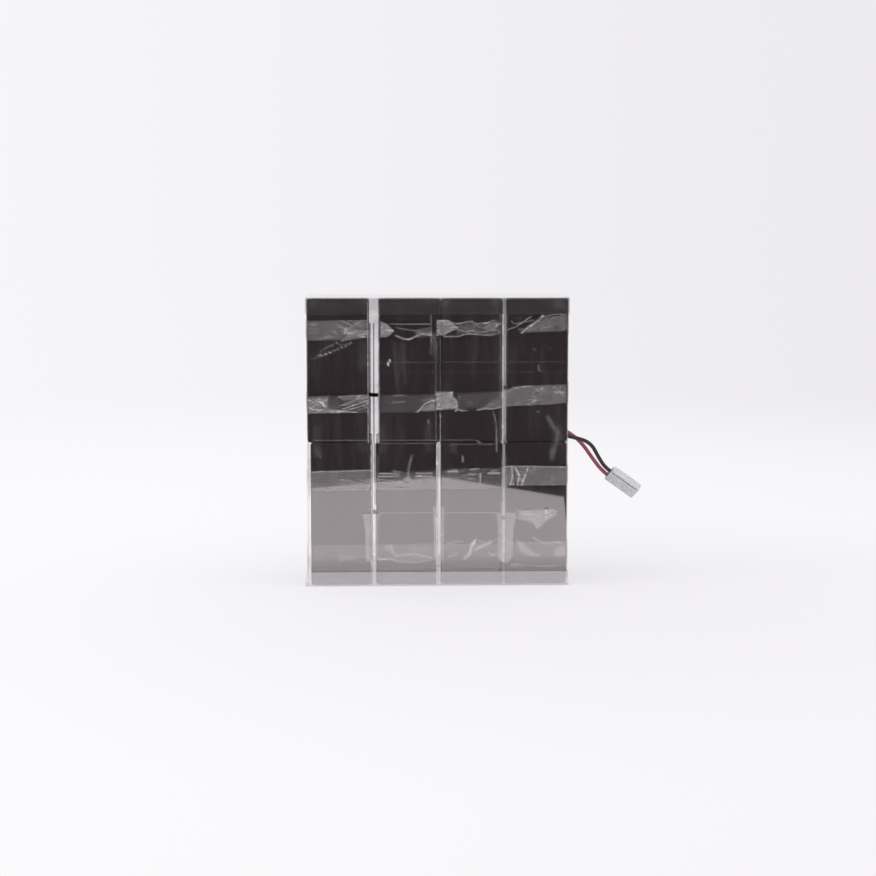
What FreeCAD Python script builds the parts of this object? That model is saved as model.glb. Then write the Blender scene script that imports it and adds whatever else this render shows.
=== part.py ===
import FreeCAD, Part
import math
import os

from FreeCAD import Placement, Rotation, Vector

# Battery cartridge: eight sealed lead-acid blocks in two rows of four, stood on end with
# their bottoms to the front. A clear folded sleeve, two clear trays and four turns of clear
# tape hold them. The blocks are wired in series behind, and two leads come out at the right.
# Millimetres. Origin at the middle of the base, +X right, +Y back, +Z up.

# Battery block
battery_width = 65.0
battery_length = 151.0
battery_height = 94.0
lid_height = 11.0
case_corner = 3.0
bottom_edge = 1.2
seam_chamfer = 0.5
lid_edge = 1.2

# Vent cover, in its pocket on the lid
vent_width = 36.0
vent_length = 104.0
vent_from_end = 9.0
vent_pocket = 1.6
vent_corner = 4.0
vent_clearance = 0.25
vent_slot_width = 1.6
vent_slot_length = 14.0

# Terminals: a blade on a foot, sealed into a well at each corner of one end
tab_from_end = 9.0
tab_from_side = 11.5
tab_width = 6.35
tab_thickness = 0.8
tab_rise = 6.0
tab_tip = 1.2
well_width = 15.0
well_length = 15.0
well_depth = 3.0
seal_width = 11.0
seal_length = 12.0
seal_height = 1.2

# How the blocks stand in their rows
columns = 4
top_gap_left = 9.4
top_gap_middle = 0.5
top_gap_right = 3.4
bottom_gap_left = 3.9
bottom_gap_middle = 3.0
bottom_gap_right = 3.0
bottom_margin = 3.3
seat = 0.3

# Clear sleeve, trays and tape
sleeve_sheet = 0.5
sleeve_corner = 2.5
sleeve_lap = 26.0
tray_wall = 0.8
tray_floor = 1.0
tray_corner = 3.5
tray_edge = 1.0
bottom_tray_lip = 15.0
top_tray_lip = 18.0
tape_width = 22.0
base_tape_width = 27.0
tape_thickness = 0.3
tape_clearance = 0.15
top_tape_below_tray = 5.7
upper_tape_rise = 41.9
lower_tape_drop = 39.1
base_tape_above_tray = 1.5

# Flag receptacles pushed on the blades
clip_wall = 0.7
clip_slip = 0.2
clip_seam = 2.0
clip_height = 5.8
barrel_length = 8.0
barrel_across_flats = 4.6
cover_wall = 0.8
cover_gap = 0.15
cover_top = 0.8
cover_edge = 0.6
wire_height = 4.45

# Wires, and where the two leads leave the sleeve above the bottom row
wire_diameter = 4.2
exit_rise = 0.8
lead_pitch = 7.8
lead_stagger = 2.0
exit_slot_gap = 1.8
free_lead_entry = 5.0
red_corner_rise = 7.0
black_corner_inset = 16.8
black_corner_back = 1.9
black_corner_rise = 2.4
black_arch = [(0, 0, 15), (13, 0, 22), (25, 0.3, 13)]

# The free leads: each goes straight on from its exit, bends down and ends straight in the plug
red_first_run = 12.8
red_bends = [(24.8, 2.4, -17.8), (36.0, 2.0, -34.0)]
black_first_run = 16.0
black_bends = [(33.6, -1.9, -8.4), (42.8, -1.4, -25.6)]
plug_run = 6.6

# Plug on the leads
plug_length = 37.0
plug_width = 16.0
plug_depth = 11.2
latch_thickness = 1.6
latch_slot = 1.2
latch_setback = 1.0
latch_bridge = 2.0
latch_inset = 0.8
pole_pitch = 6.8
wire_bore = 5.0
waist_bore = 3.0
mouth_bore = 5.2
wire_bore_depth = 11.0
mouth_depth = 15.0
contact_diameter = 2.6
contact_collar = 4.4
contact_setback = 2.5
contact_bore = 1.6
plug_groove = 0.5
plug_grooves = 5
plug_droop = 35.5
plug_roll = 40.0
plug_reach = 56.15
plug_forward = 10.25
plug_drop = 43.6

# Derived places
barrel_half = barrel_across_flats / math.cos(math.pi / 6) / 2
harness_depth = wire_height + barrel_half + cover_gap + cover_top + seat + sleeve_sheet
top_gaps = (top_gap_left, top_gap_middle, top_gap_right)
bottom_gaps = (bottom_gap_left, bottom_gap_middle, bottom_gap_right)
inner_width = columns * battery_width + sum(top_gaps) + 2 * seat
shell = sleeve_sheet + seat + tray_wall
outer_width = inner_width + 2 * shell
outer_depth = battery_height + harness_depth + seat + 2 * shell
outer_height = 2 * tray_floor + 3 * seat + 2 * battery_length
bottom_row_z = tray_floor + seat
top_row_z = bottom_row_z + battery_length + seat
front_y = -outer_depth / 2
battery_y = front_y + shell + seat
lid_top_y = battery_y + battery_height
wire_y = lid_top_y + wire_height
tab_offset = battery_width / 2 - tab_from_side
barrel_end = tab_width / 2 + clip_slip + clip_wall + barrel_length
exit_height = bottom_row_z + battery_length + exit_rise
exit_middle = Vector(outer_width / 2, wire_y, exit_height)
plug_corner = exit_middle + Vector(plug_reach, -plug_forward, -plug_drop)
tape_heights = {
    "tape_band_top": outer_height - top_tray_lip - top_tape_below_tray - tape_width / 2,
    "tape_band_upper": top_row_z + upper_tape_rise,
    "tape_band_lower": top_row_z - lower_tape_drop,
    "tape_band_base": bottom_tray_lip + base_tape_above_tray + base_tape_width / 2,
}


def box(low, high):
    size = [b - a for a, b in zip(low, high)]
    return Part.makeBox(*size, Vector(*low))


def along(shape, direction):
    """Edges of the shape that are straight and run along a direction."""
    found = []
    for edge in shape.Edges:
        if isinstance(edge.Curve, (Part.Line, Part.LineSegment)):
            if edge.tangentAt(edge.FirstParameter).cross(direction).Length < 1e-6:
                found.append(edge)
    return found


def edges_at(shape, axis, value):
    """Edges of the shape that lie whole in the plane axis = value."""
    found = []
    for edge in shape.Edges:
        low = getattr(edge.BoundBox, axis + "Min")
        high = getattr(edge.BoundBox, axis + "Max")
        if abs(low - value) < 1e-6 and abs(high - value) < 1e-6:
            found.append(edge)
    return found


def rounded_block(low, high, radius, direction):
    """A block with its four edges along one direction rounded."""
    block = box(low, high)
    return block.makeFillet(radius, along(block, direction))


def chamfered_block(low, high, cut, direction):
    """A block with its four edges along one direction cut at 45 degrees."""
    block = box(low, high)
    return block.makeChamfer(cut, along(block, direction))


def export(name, shape):
    solids = shape.Solids
    result = solids[0] if len(solids) == 1 else Part.makeCompound(solids)
    result.exportStep("parts/" + name + ".step")
    if not result.isValid():
        print("not valid:", name)


def battery_case():
    depth = battery_height - lid_height
    half = battery_width / 2
    case = rounded_block((-half, 0, 0), (half, depth, battery_length), case_corner, Vector(0, 1, 0))
    case = case.makeChamfer(bottom_edge, edges_at(case, "Y", 0))
    return case.makeChamfer(seam_chamfer, edges_at(case, "Y", depth))


def battery_lid():
    low = battery_height - lid_height
    half = battery_width / 2
    high = battery_height
    lid = rounded_block((-half, low, 0), (half, high, battery_length), case_corner, Vector(0, 1, 0))
    lid = lid.makeChamfer(lid_edge, edges_at(lid, "Y", battery_height))
    floor = battery_height - vent_pocket
    pocket = chamfered_block(
        (-vent_width / 2, floor, vent_from_end),
        (vent_width / 2, battery_height + 1, vent_from_end + vent_length),
        vent_corner,
        Vector(0, 1, 0),
    )
    lid = lid.cut(pocket)
    for x in (-tab_offset, tab_offset):
        z = battery_length - tab_from_end
        well = box(
            (x - well_width / 2, battery_height - well_depth, z - well_length / 2),
            (x + well_width / 2, battery_height + 1, z + well_length / 2),
        )
        lid = lid.cut(well)
    return lid


def vent_cover():
    floor = battery_height - vent_pocket
    half = vent_width / 2 - vent_clearance
    low_z = vent_from_end + vent_clearance
    high_z = vent_from_end + vent_length - vent_clearance
    corner = vent_corner - vent_clearance * (2 - math.sqrt(2))
    cover = chamfered_block((-half, floor, low_z), (half, battery_height, high_z), corner, Vector(0, 1, 0))
    middle = (low_z + high_z) / 2
    for side in (-1, 1):
        x = side * half
        slot = box(
            (x - vent_slot_width, floor, middle - vent_slot_length / 2),
            (x + vent_slot_width, battery_height, middle + vent_slot_length / 2),
        )
        cover = cover.cut(slot)
    return cover


def tab(x):
    """One blade with its chamfered tip."""
    z = battery_length - tab_from_end
    low = battery_height - well_depth
    high = battery_height + tab_rise
    blade = box(
        (x - tab_thickness / 2, low, z - tab_width / 2),
        (x + tab_thickness / 2, high, z + tab_width / 2),
    )
    tips = [e for e in along(blade, Vector(1, 0, 0)) if e.BoundBox.YMin > high - 1e-6]
    return blade.makeChamfer(tab_tip, tips)


def tab_seal(x):
    """The cast seal that fills the foot of a terminal well round its blade."""
    z = battery_length - tab_from_end
    low = battery_height - well_depth
    seal = box(
        (x - seal_width / 2, low, z - seal_length / 2),
        (x + seal_width / 2, low + seal_height, z + seal_length / 2),
    )
    gap = box(
        (x - tab_thickness / 2, low, z - tab_width / 2),
        (x + tab_thickness / 2, low + seal_height, z + tab_width / 2),
    )
    return seal.cut(gap)


def row_centres(left, gaps):
    centres = []
    x = left + battery_width / 2
    for gap in gaps + (0.0,):
        centres.append(x)
        x += battery_width + gap
    return centres


top_centres = row_centres(-inner_width / 2 + seat, top_gaps)
bottom_centres = row_centres(-inner_width / 2 + bottom_margin, bottom_gaps)
places = [(x, top_row_z) for x in top_centres] + [(x, bottom_row_z) for x in bottom_centres]


def placed(shape, place):
    return shape.translated(Vector(place[0], battery_y, place[1]))


def tab_point(place, side):
    """Centre line of a blade, level with the wires: side -1 is the left tab, 1 the right."""
    return Vector(place[0] + side * tab_offset, wire_y, place[1] + battery_length - tab_from_end)


def clip(point, up):
    """A flag receptacle: a folded socket round the blade and a barrel crimped to a hexagon."""
    low_y = lid_top_y + seat
    high_y = low_y + clip_height
    inner_x = tab_thickness / 2 + clip_slip
    inner_z = tab_width / 2 + clip_slip
    outer_x = inner_x + clip_wall
    outer_z = inner_z + clip_wall
    socket = box((-outer_x, low_y, -outer_z), (outer_x, high_y, outer_z))
    socket = socket.cut(box((-inner_x, low_y - 1, -inner_z), (inner_x, high_y + 1, inner_z)))
    socket = socket.cut(box((0, low_y - 1, -clip_seam / 2), (outer_x + 1, high_y + 1, clip_seam / 2)))
    hexagon = []
    for corner in range(7):
        angle = math.pi * (corner + 0.5) / 3
        x = barrel_half * math.cos(angle)
        y = barrel_half * math.sin(angle)
        hexagon.append(Vector(x, wire_y + y, outer_z - clip_wall / 2))
    barrel = Part.Face(Part.makePolygon(hexagon)).extrude(Vector(0, 0, barrel_length + clip_wall / 2))
    part = socket.fuse(barrel).removeSplitter()
    if not up:
        part.rotate(Vector(0, wire_y, 0), Vector(0, 1, 0), 180)
    return part.translated(Vector(point.x, 0, point.z))


def clip_cover(point, up):
    """The insulating cover over a receptacle: a cap on the socket and a square neck."""
    inner_x = tab_thickness / 2 + clip_slip + clip_wall + cover_gap
    inner_z = tab_width / 2 + clip_slip + clip_wall + cover_gap
    clip_half = tab_width / 2
    low_y = lid_top_y + seat
    inner_y = low_y + clip_height + cover_gap
    neck = barrel_half + cover_gap
    top_y = max(inner_y, wire_y + neck)
    outer_x = max(inner_x, neck) + cover_wall
    outer = box((-outer_x, low_y, -inner_z - cover_wall), (outer_x, top_y + cover_top, barrel_end))
    outer = outer.makeChamfer(cover_edge, edges_at(outer, "Y", top_y + cover_top))
    hollow = box((-inner_x, low_y - 1, -inner_z), (inner_x, inner_y, inner_z))
    hollow = hollow.fuse(box((-neck, wire_y - neck, clip_half), (neck, top_y, barrel_end + 1)))
    part = outer.cut(hollow)
    if not up:
        part.rotate(Vector(0, wire_y, 0), Vector(0, 1, 0), 180)
    return part.translated(Vector(point.x, 0, point.z))


def route_wire(points):
    """Straight runs joined by tangent arcs, each as wide as its two runs allow."""
    edges = []
    radii = []
    start = points[0]
    for before, corner, after in zip(points, points[1:], points[2:]):
        into = (corner - before).normalize()
        out = (after - corner).normalize()
        turn = into.getAngle(out)
        setback = 0.45 * min((corner - before).Length, (after - corner).Length)
        radii.append(setback / math.tan(turn / 2))
        first = corner - into * setback
        last = corner + out * setback
        inward = (out - into).normalize()
        middle = corner + inward * (radii[-1] / math.cos(turn / 2) - radii[-1])
        edges.append(Part.LineSegment(start, first).toShape())
        edges.append(Part.Arc(first, middle, last).toShape())
        start = last
    edges.append(Part.LineSegment(start, points[-1]).toShape())
    return Part.Wire(edges), radii


def tube(name, points):
    """A round wire along its route."""
    path, radii = route_wire(points)
    section = Part.Wire(Part.makeCircle(wire_diameter / 2, points[0], points[1] - points[0]))
    solid = path.makePipeShell([section], True, False)
    ideal = path.Length * math.pi * wire_diameter ** 2 / 4
    bends = [round(radius, 1) for radius in radii]
    ratio = round(solid.Volume / ideal, 4)
    print(name, "length", round(path.Length, 1), "radii", bends, "volume ratio", ratio)
    return solid


def wire_end(place, side, up):
    """Where a wire leaves the receptacle on a blade."""
    return tab_point(place, side) + Vector(0, 0, barrel_end if up else -barrel_end)


top, bottom = places[:columns], places[columns:]

# Each jumper joins two tabs: its two ends (block, side), whether each end's receptacle points
# up, and its two bends in X and Z, each from the nearer end
jumpers = {
    "jumper top 1-2": ((top[0], 1), (top[1], -1), (False, False), (0.0, -87.5), (0.0, -89.5)),
    "jumper top 2-3": ((top[1], 1), (top[2], -1), (False, False), (0.0, -60.5), (0.0, -57.0)),
    "jumper top 3-4": ((top[2], 1), (top[3], -1), (False, False), (0.0, -82.0), (0.0, -79.0)),
    "jumper bottom 1-2": ((bottom[0], -1), (bottom[1], 1), (False, False), (0.0, -64.5), (0.0, -69.0)),
    "jumper bottom 2-3": ((bottom[1], -1), (bottom[2], 1), (True, True), (0.0, 28.0), (0.0, 24.5)),
    "jumper bottom 3-4": ((bottom[2], -1), (bottom[3], 1), (False, False), (0.0, -76.5), (0.0, -72.0)),
    "jumper between rows": ((top[0], -1), (bottom[0], 1), (False, True), (0.0, -84.0), (0.0, 24.0)),
}

# Where the two leads come out: the red above and behind, the black below and in front
red_exit = exit_middle + Vector(0, lead_stagger / 2, lead_pitch / 2)
black_exit = exit_middle - Vector(0, lead_stagger / 2, lead_pitch / 2)

# The inner leads: the red one drops from its receptacle to a corner just above its exit, and
# the black one bends over from its receptacle to a corner just inside its exit
red_start = wire_end(top[-1], 1, False)
red_corner = Vector(red_start.x, red_start.y, red_exit.z + red_corner_rise)
red_inner = [red_start, red_corner, red_exit]
black_start = wire_end(bottom[-1], -1, True)
black_corner = black_exit + Vector(-black_corner_inset, black_corner_back, black_corner_rise)
black_inner = [black_start] + [black_start + Vector(*step) for step in black_arch]
black_inner += [black_corner, black_exit]


def build_harness():
    """Jumpers, inner leads, receptacles and covers."""
    clips = []
    covers = []

    def receptacle(end, up):
        place, side = end
        clips.append(clip(tab_point(place, side), up))
        covers.append(clip_cover(tab_point(place, side), up))
        return wire_end(place, side, up)

    tubes = []
    for name, (first, last, up, first_bend, last_bend) in jumpers.items():
        start = receptacle(first, up[0])
        end = receptacle(last, up[1])
        first_bend = start + Vector(first_bend[0], 0, first_bend[1])
        last_bend = end + Vector(last_bend[0], 0, last_bend[1])
        tubes.append(tube(name, [start, first_bend, last_bend, end]))
    export("jumpers", Part.makeCompound(tubes))

    receptacle((top[-1], 1), False)
    receptacle((bottom[-1], -1), True)
    export("red_lead_inner", tube("red lead, inner", red_inner))
    export("black_lead_inner", tube("black lead, inner", black_inner))
    export("receptacle_clips", Part.makeCompound(clips))
    export("receptacle_covers", Part.makeCompound(covers))


def plug_frame():
    """Places the plug: its length points down and out, and it is rolled about it."""
    droop = Rotation(Vector(0, 1, 0), plug_droop)
    roll = Rotation(Vector(1, 0, 0), plug_roll)
    return Placement(plug_corner, droop.multiply(roll))


def pole(index):
    """Centre of a pole on the plug's wire end, in the plug's own frame."""
    body = latch_thickness + latch_slot
    middle = body + (plug_width - body) / 2
    return Vector(0, plug_depth / 2, -(middle + (index - 0.5) * pole_pitch))


def plug_housing():
    """The moulded plug: a two-pole body with a latch arm along one narrow side."""
    body_top = -(latch_thickness + latch_slot)
    body = box((0, 0, -plug_width), (plug_length, plug_depth, body_top))
    body = body.makeChamfer(latch_inset, along(body, Vector(1, 0, 0)))
    latch_end = (plug_length, plug_depth - latch_inset, 0)
    arm = box((latch_setback, latch_inset, -latch_thickness), latch_end)
    bridge = box((plug_length - latch_bridge, latch_inset, body_top - latch_inset), latch_end)
    housing = body.fuse(arm).fuse(bridge).removeSplitter()
    pitch = (plug_width + body_top) / (plug_grooves + 1)
    half = plug_groove / 2
    for step in range(plug_grooves):
        z = body_top - pitch * (step + 1)
        for y in (0, plug_depth):
            low = (latch_setback, y - half, z - half)
            high = (plug_length - latch_bridge, y + half, z + half)
            housing = housing.cut(box(low, high))
    ahead = Vector(1, 0, 0)
    for index in (0, 1):
        centre = pole(index)
        housing = housing.cut(Part.makeCylinder(wire_bore / 2, wire_bore_depth, centre, ahead))
        housing = housing.cut(Part.makeCylinder(waist_bore / 2, plug_length, centre, ahead))
        mouth = centre + ahead * (plug_length - mouth_depth)
        housing = housing.cut(Part.makeCylinder(mouth_bore / 2, mouth_depth, mouth, ahead))
    return housing


def contact(index):
    """A crimp contact: a collar on the wire's end and a hollow nose in the plug's mouth."""
    start = free_lead_entry
    collar = wire_bore_depth
    nose = plug_length - contact_setback
    mouth = plug_length - mouth_depth
    outline = [
        (start, 0),
        (start, contact_collar / 2),
        (collar, contact_collar / 2),
        (collar, contact_diameter / 2),
        (nose, contact_diameter / 2),
        (nose, contact_bore / 2),
        (mouth, contact_bore / 2),
        (mouth, 0),
    ]
    points = [Vector(x, 0, r) for x, r in outline]
    face = Part.Face(Part.makePolygon(points + points[:1]))
    turned = face.revolve(Vector(0, 0, 0), Vector(1, 0, 0), 360)
    return turned.translated(pole(index))


def build_plug():
    frame = plug_frame()
    export("plug_housing", plug_housing().transformed(frame.toMatrix()))
    contacts = Part.makeCompound([contact(0), contact(1)])
    export("plug_contacts", contacts.transformed(frame.toMatrix()))
    for name, inner, first_run, bends, index in (
        ("black_lead", black_inner, black_first_run, black_bends, 0),
        ("red_lead", red_inner, red_first_run, red_bends, 1),
    ):
        leaving = (inner[-1] - inner[-2]).normalize()
        points = [inner[-1], inner[-1] + leaving * first_run]
        points += [inner[-1] + Vector(*bend) for bend in bends]
        points.append(frame.multVec(pole(index) - Vector(plug_run, 0, 0)))
        points.append(frame.multVec(pole(index) + Vector(free_lead_entry, 0, 0)))
        export(name, tube(name.replace("_", " "), points))
        print("  route", [tuple(round(c, 2) for c in p) for p in points])


def ring(inset, wall, corner, low, high):
    """A wall that goes round the pack, inset from the trays' outer faces."""
    x = outer_width / 2 - inset
    y = outer_depth / 2 - inset
    outer = rounded_block((-x, -y, low), (x, y, high), corner, Vector(0, 0, 1))
    x -= wall
    y -= wall
    inner = rounded_block((-x, -y, low - 1), (x, y, high + 1), corner - wall, Vector(0, 0, 1))
    return outer.cut(inner)


def clear_sleeve():
    """One folded sheet round the pack, lapped at the back, notched at a fold for the leads."""
    inset = tray_wall + seat
    low = bottom_row_z
    high = outer_height - tray_floor - seat
    sleeve = ring(inset, sleeve_sheet, sleeve_corner, low, high)
    y = outer_depth / 2 - inset - sleeve_sheet
    lap = box((-sleeve_lap / 2, y - sleeve_sheet, low), (sleeve_lap / 2, y, high))
    sleeve = sleeve.fuse(lap).removeSplitter()
    x = outer_width / 2 - inset
    reach = wire_diameter / 2 + exit_slot_gap
    notch = box(
        (x - sleeve_corner, black_exit.y - reach, black_exit.z - reach),
        (x + 1, outer_depth / 2, red_exit.z + reach),
    )
    return sleeve.cut(notch)


def tray(height):
    """A shallow clear tray, open upwards, with its outer bottom edge eased."""
    x = outer_width / 2
    y = outer_depth / 2
    outer = rounded_block((-x, -y, 0), (x, y, height), tray_corner, Vector(0, 0, 1))
    outer = outer.makeChamfer(tray_edge, edges_at(outer, "Z", 0))
    x -= tray_wall
    y -= tray_wall
    inner = rounded_block((-x, -y, tray_floor), (x, y, height + 1), tray_corner - tray_wall, Vector(0, 0, 1))
    return outer.cut(inner)


def build_batteries():
    case = battery_case()
    lid = battery_lid()
    cover = vent_cover()
    tabs = Part.makeCompound([tab(-tab_offset), tab(tab_offset)])
    for index, place in enumerate(places):
        row = "top" if index < columns else "bottom"
        name = row + "_" + str(index % columns + 1)
        export("battery_case_" + name, placed(case, place))
        export("battery_lid_" + name, placed(lid, place))
        export("vent_cover_" + name, placed(cover, place))
        export("terminal_tabs_" + name, placed(tabs, place))
    plus = tab_seal(tab_offset)
    minus = tab_seal(-tab_offset)
    export("positive_seals", Part.makeCompound([placed(plus, place) for place in places]))
    export("negative_seals", Part.makeCompound([placed(minus, place) for place in places]))


def build_wrap():
    export("clear_sleeve", clear_sleeve())
    export("bottom_tray", tray(bottom_tray_lip))
    lid = tray(top_tray_lip)
    lid.rotate(Vector(0, 0, 0), Vector(1, 0, 0), 180)
    export("top_tray", lid.translated(Vector(0, 0, outer_height)))
    inset = tray_wall + seat - tape_clearance - tape_thickness
    corner = sleeve_corner + tape_clearance + tape_thickness
    for name, height in tape_heights.items():
        half = (base_tape_width if name == "tape_band_base" else tape_width) / 2
        export(name, ring(inset, tape_thickness, corner, height - half, height + half))


os.makedirs("parts", exist_ok=True)
build_batteries()
build_harness()
build_plug()
build_wrap()
print("outer size", round(outer_width, 2), round(outer_depth, 2), round(outer_height, 2))
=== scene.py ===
import math

import bmesh
import bpy
from mathutils import Matrix, Vector, noise
from mathutils.geometry import intersect_point_line


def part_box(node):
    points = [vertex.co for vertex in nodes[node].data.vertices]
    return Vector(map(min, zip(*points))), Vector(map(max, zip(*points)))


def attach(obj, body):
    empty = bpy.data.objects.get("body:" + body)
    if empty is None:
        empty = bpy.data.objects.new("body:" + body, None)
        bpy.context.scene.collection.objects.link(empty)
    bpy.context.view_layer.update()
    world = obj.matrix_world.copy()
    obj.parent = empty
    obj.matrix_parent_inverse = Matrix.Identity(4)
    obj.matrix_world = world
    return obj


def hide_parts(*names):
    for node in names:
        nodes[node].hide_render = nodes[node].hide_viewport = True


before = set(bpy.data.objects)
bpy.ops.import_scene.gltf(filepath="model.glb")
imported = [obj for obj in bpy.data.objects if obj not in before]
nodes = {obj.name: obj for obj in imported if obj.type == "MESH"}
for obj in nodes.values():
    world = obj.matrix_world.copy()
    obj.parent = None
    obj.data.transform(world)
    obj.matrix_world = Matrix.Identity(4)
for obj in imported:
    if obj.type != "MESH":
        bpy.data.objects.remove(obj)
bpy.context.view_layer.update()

# Clear-wrapped battery cartridge on a pale studio floor. Metres, +X right, +Y back, +Z up.

low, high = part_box("top_tray")
packWidth = high[0] - low[0]
frontY = low[1]


# Shader maths: a socket that can be added, multiplied and compared
class Socket:
    def __init__(self, finish, link):
        self.finish = finish
        self.link = link

    def combine(self, operation, other, swapped=False):
        pair = {0: other, 1: self} if swapped else {0: self, 1: other}
        return self.finish.node("ShaderNodeMath", {"operation": operation}, pair)[0]

    def __add__(self, other):
        return self.combine("ADD", other)

    def __radd__(self, other):
        return self.combine("ADD", other, True)

    def __sub__(self, other):
        return self.combine("SUBTRACT", other)

    def __rsub__(self, other):
        return self.combine("SUBTRACT", other, True)

    def __mul__(self, other):
        return self.combine("MULTIPLY", other)

    def __rmul__(self, other):
        return self.combine("MULTIPLY", other, True)

    def __truediv__(self, other):
        return self.combine("DIVIDE", other)

    def __pow__(self, other):
        return self.combine("POWER", other)

    def __gt__(self, other):
        return self.combine("GREATER_THAN", other)

    def __lt__(self, other):
        return self.combine("LESS_THAN", other)

    def least(self, other):
        return self.combine("MINIMUM", other)

    def most(self, other):
        return self.combine("MAXIMUM", other)

    def size(self):
        return self.combine("ABSOLUTE", 0.0)

    def ramp(self, start, end, to=(0.0, 1.0)):
        values = {0: self, 1: start, 2: end, 3: to[0], 4: to[1]}
        settings = {"interpolation_type": "SMOOTHSTEP"}
        return self.finish.node("ShaderNodeMapRange", settings, values)[0]


class Node:
    def __init__(self, finish, node):
        self.finish = finish
        self.node = node

    def __getitem__(self, key):
        return Socket(self.finish, self.node.outputs[key])


# A material, or the world, whose nodes are added one call at a time
class Finish:
    def __init__(self, owner):
        owner.use_nodes = True
        self.owner = owner
        self.tree = owner.node_tree
        self.tree.nodes.clear()

    def node(self, kind, settings=None, values=None):
        made = self.tree.nodes.new(kind)
        for name, setting in (settings or {}).items():
            setattr(made, name, setting)
        for key, value in (values or {}).items():
            if isinstance(value, Socket):
                self.tree.links.new(value.link, made.inputs[key])
            else:
                made.inputs[key].default_value = value
        return Node(self, made)

    def place(self):
        return self.node("ShaderNodeTexCoord")["Object"]

    def axes(self, vector):
        split = self.node("ShaderNodeSeparateXYZ", None, {0: vector})
        return split["X"], split["Y"], split["Z"]

    def stretch(self, vector, scale):
        return self.node("ShaderNodeMapping", None, {"Vector": vector, "Scale": scale})[0]

    def noise(self, vector, scale, detail=3.0, rough=0.5, warp=0.0):
        values = {"Vector": vector, "Scale": scale, "Detail": detail, "Roughness": rough, "Distortion": warp}
        return self.node("ShaderNodeTexNoise", None, values)["Fac"]

    def mix(self, factor, first, second):
        return self.node("ShaderNodeMix", {"data_type": "RGBA"}, {0: factor, 6: first, 7: second})[2]

    def mixShader(self, factor, first, second):
        return self.node("ShaderNodeMixShader", None, {0: factor, 1: first, 2: second})[0]

    def bump(self, height, distance, strength=1.0):
        values = {"Height": height, "Distance": distance, "Strength": strength}
        return self.node("ShaderNodeBump", None, values)[0]

    def principled(self, **values):
        return self.node("ShaderNodeBsdfPrincipled", None, values)[0]

    def edgeGloss(self, facingOn, power=5.0):
        facing = self.node("ShaderNodeLayerWeight", None, {"Blend": 0.5})["Facing"]
        return facingOn + (1.0 - facingOn) * facing ** power

    def end(self, shader):
        self.node("ShaderNodeOutputMaterial", None, {"Surface": shader})
        return self.owner


def newFinish(name):
    return Finish(bpy.data.materials.new(name))


def grey(value, tint=(1.0, 1.0, 1.0)):
    return (value * tint[0], value * tint[1], value * tint[2], 1.0)


# Battery cases: smooth black plastic, faintly smeared
caseLook = {
    "color": (0.038, 0.030, 0.033, 1.0),
    "smearColor": (0.062, 0.052, 0.055, 1.0),
    "roughness": 0.05,
    "smear": 0.05,
    "waviness": 0.000002,
}


def caseFinish():
    finish = newFinish("blackCase")
    place = finish.place()
    smear = finish.noise(finish.stretch(place, (60, 60, 9)), 1.0, 4.0, 0.6)
    fine = finish.noise(place, 240.0, 3.0)
    color = finish.mix(smear.ramp(0.45, 0.8), caseLook["color"], caseLook["smearColor"])
    rough = caseLook["roughness"] + smear.ramp(0.4, 0.75) * caseLook["smear"]
    normal = finish.bump(finish.noise(place, 22.0, 2.0), caseLook["waviness"])
    values = {"Base Color": color, "Roughness": rough + fine * 0.02, "Normal": normal}
    return finish.end(finish.principled(**values))


# Lids and vent covers: the same plastic with a fine grain
def lidFinish():
    finish = newFinish("blackLid")
    place = finish.place()
    grain = finish.noise(place, 1800.0, 2.0)
    smear = finish.noise(place, 30.0, 4.0, 0.6)
    color = finish.mix(smear, (0.02, 0.019, 0.02, 1.0), (0.04, 0.038, 0.04, 1.0))
    normal = finish.bump(grain, 0.0001, 0.5)
    values = {"Base Color": color, "Roughness": 0.42 + smear * 0.15, "Normal": normal}
    return finish.end(finish.principled(**values))


def tinFinish():
    finish = newFinish("tinnedBrass")
    place = finish.place()
    scuff = finish.noise(finish.stretch(place, (1, 1, 6)), 600.0, 4.0, 0.6)
    color = finish.mix(scuff, (0.62, 0.60, 0.55, 1.0), (0.78, 0.77, 0.74, 1.0))
    values = {"Base Color": color, "Roughness": 0.25 + scuff * 0.2, "Metallic": 1.0}
    return finish.end(finish.principled(**values, Normal=finish.bump(scuff, 0.0001, 0.3)))


def sealFinish(name, dark, pale):
    finish = newFinish(name)
    lumps = finish.noise(finish.place(), 420.0, 3.0)
    color = finish.mix(lumps, dark, pale)
    normal = finish.bump(lumps, 0.0004, 0.5)
    values = {"Base Color": color, "Roughness": 0.3 + lumps * 0.2, "Normal": normal}
    return finish.end(finish.principled(**values))


def coverFinish():
    finish = newFinish("coverNylon")
    cloud = finish.noise(finish.place(), 160.0, 3.0)
    color = finish.mix(cloud, (0.62, 0.62, 0.60, 1.0), (0.76, 0.76, 0.74, 1.0))
    values = {"Base Color": color, "Roughness": 0.35 + cloud * 0.1}
    return finish.end(finish.principled(**values))


# Wires: soft insulation with a faint lengthwise drag and a satin shine
wireLook = {
    "red": ((0.31, 0.055, 0.085, 1.0), (0.46, 0.12, 0.16, 1.0)),
    "black": ((0.024, 0.013, 0.015, 1.0), (0.048, 0.033, 0.036, 1.0)),
}


def wireFinish(color):
    finish = newFinish(color + "Insulation")
    place = finish.place()
    drag = finish.noise(place, 320.0, 3.0)
    dust = finish.noise(place, 1400.0, 2.0)
    base = finish.mix(drag, *wireLook[color])
    normal = finish.bump(drag + dust * 0.3, 0.0002, 0.35)
    values = {"Base Color": base, "Roughness": 0.32 + drag * 0.14, "Normal": normal}
    return finish.end(finish.principled(**values))


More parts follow.
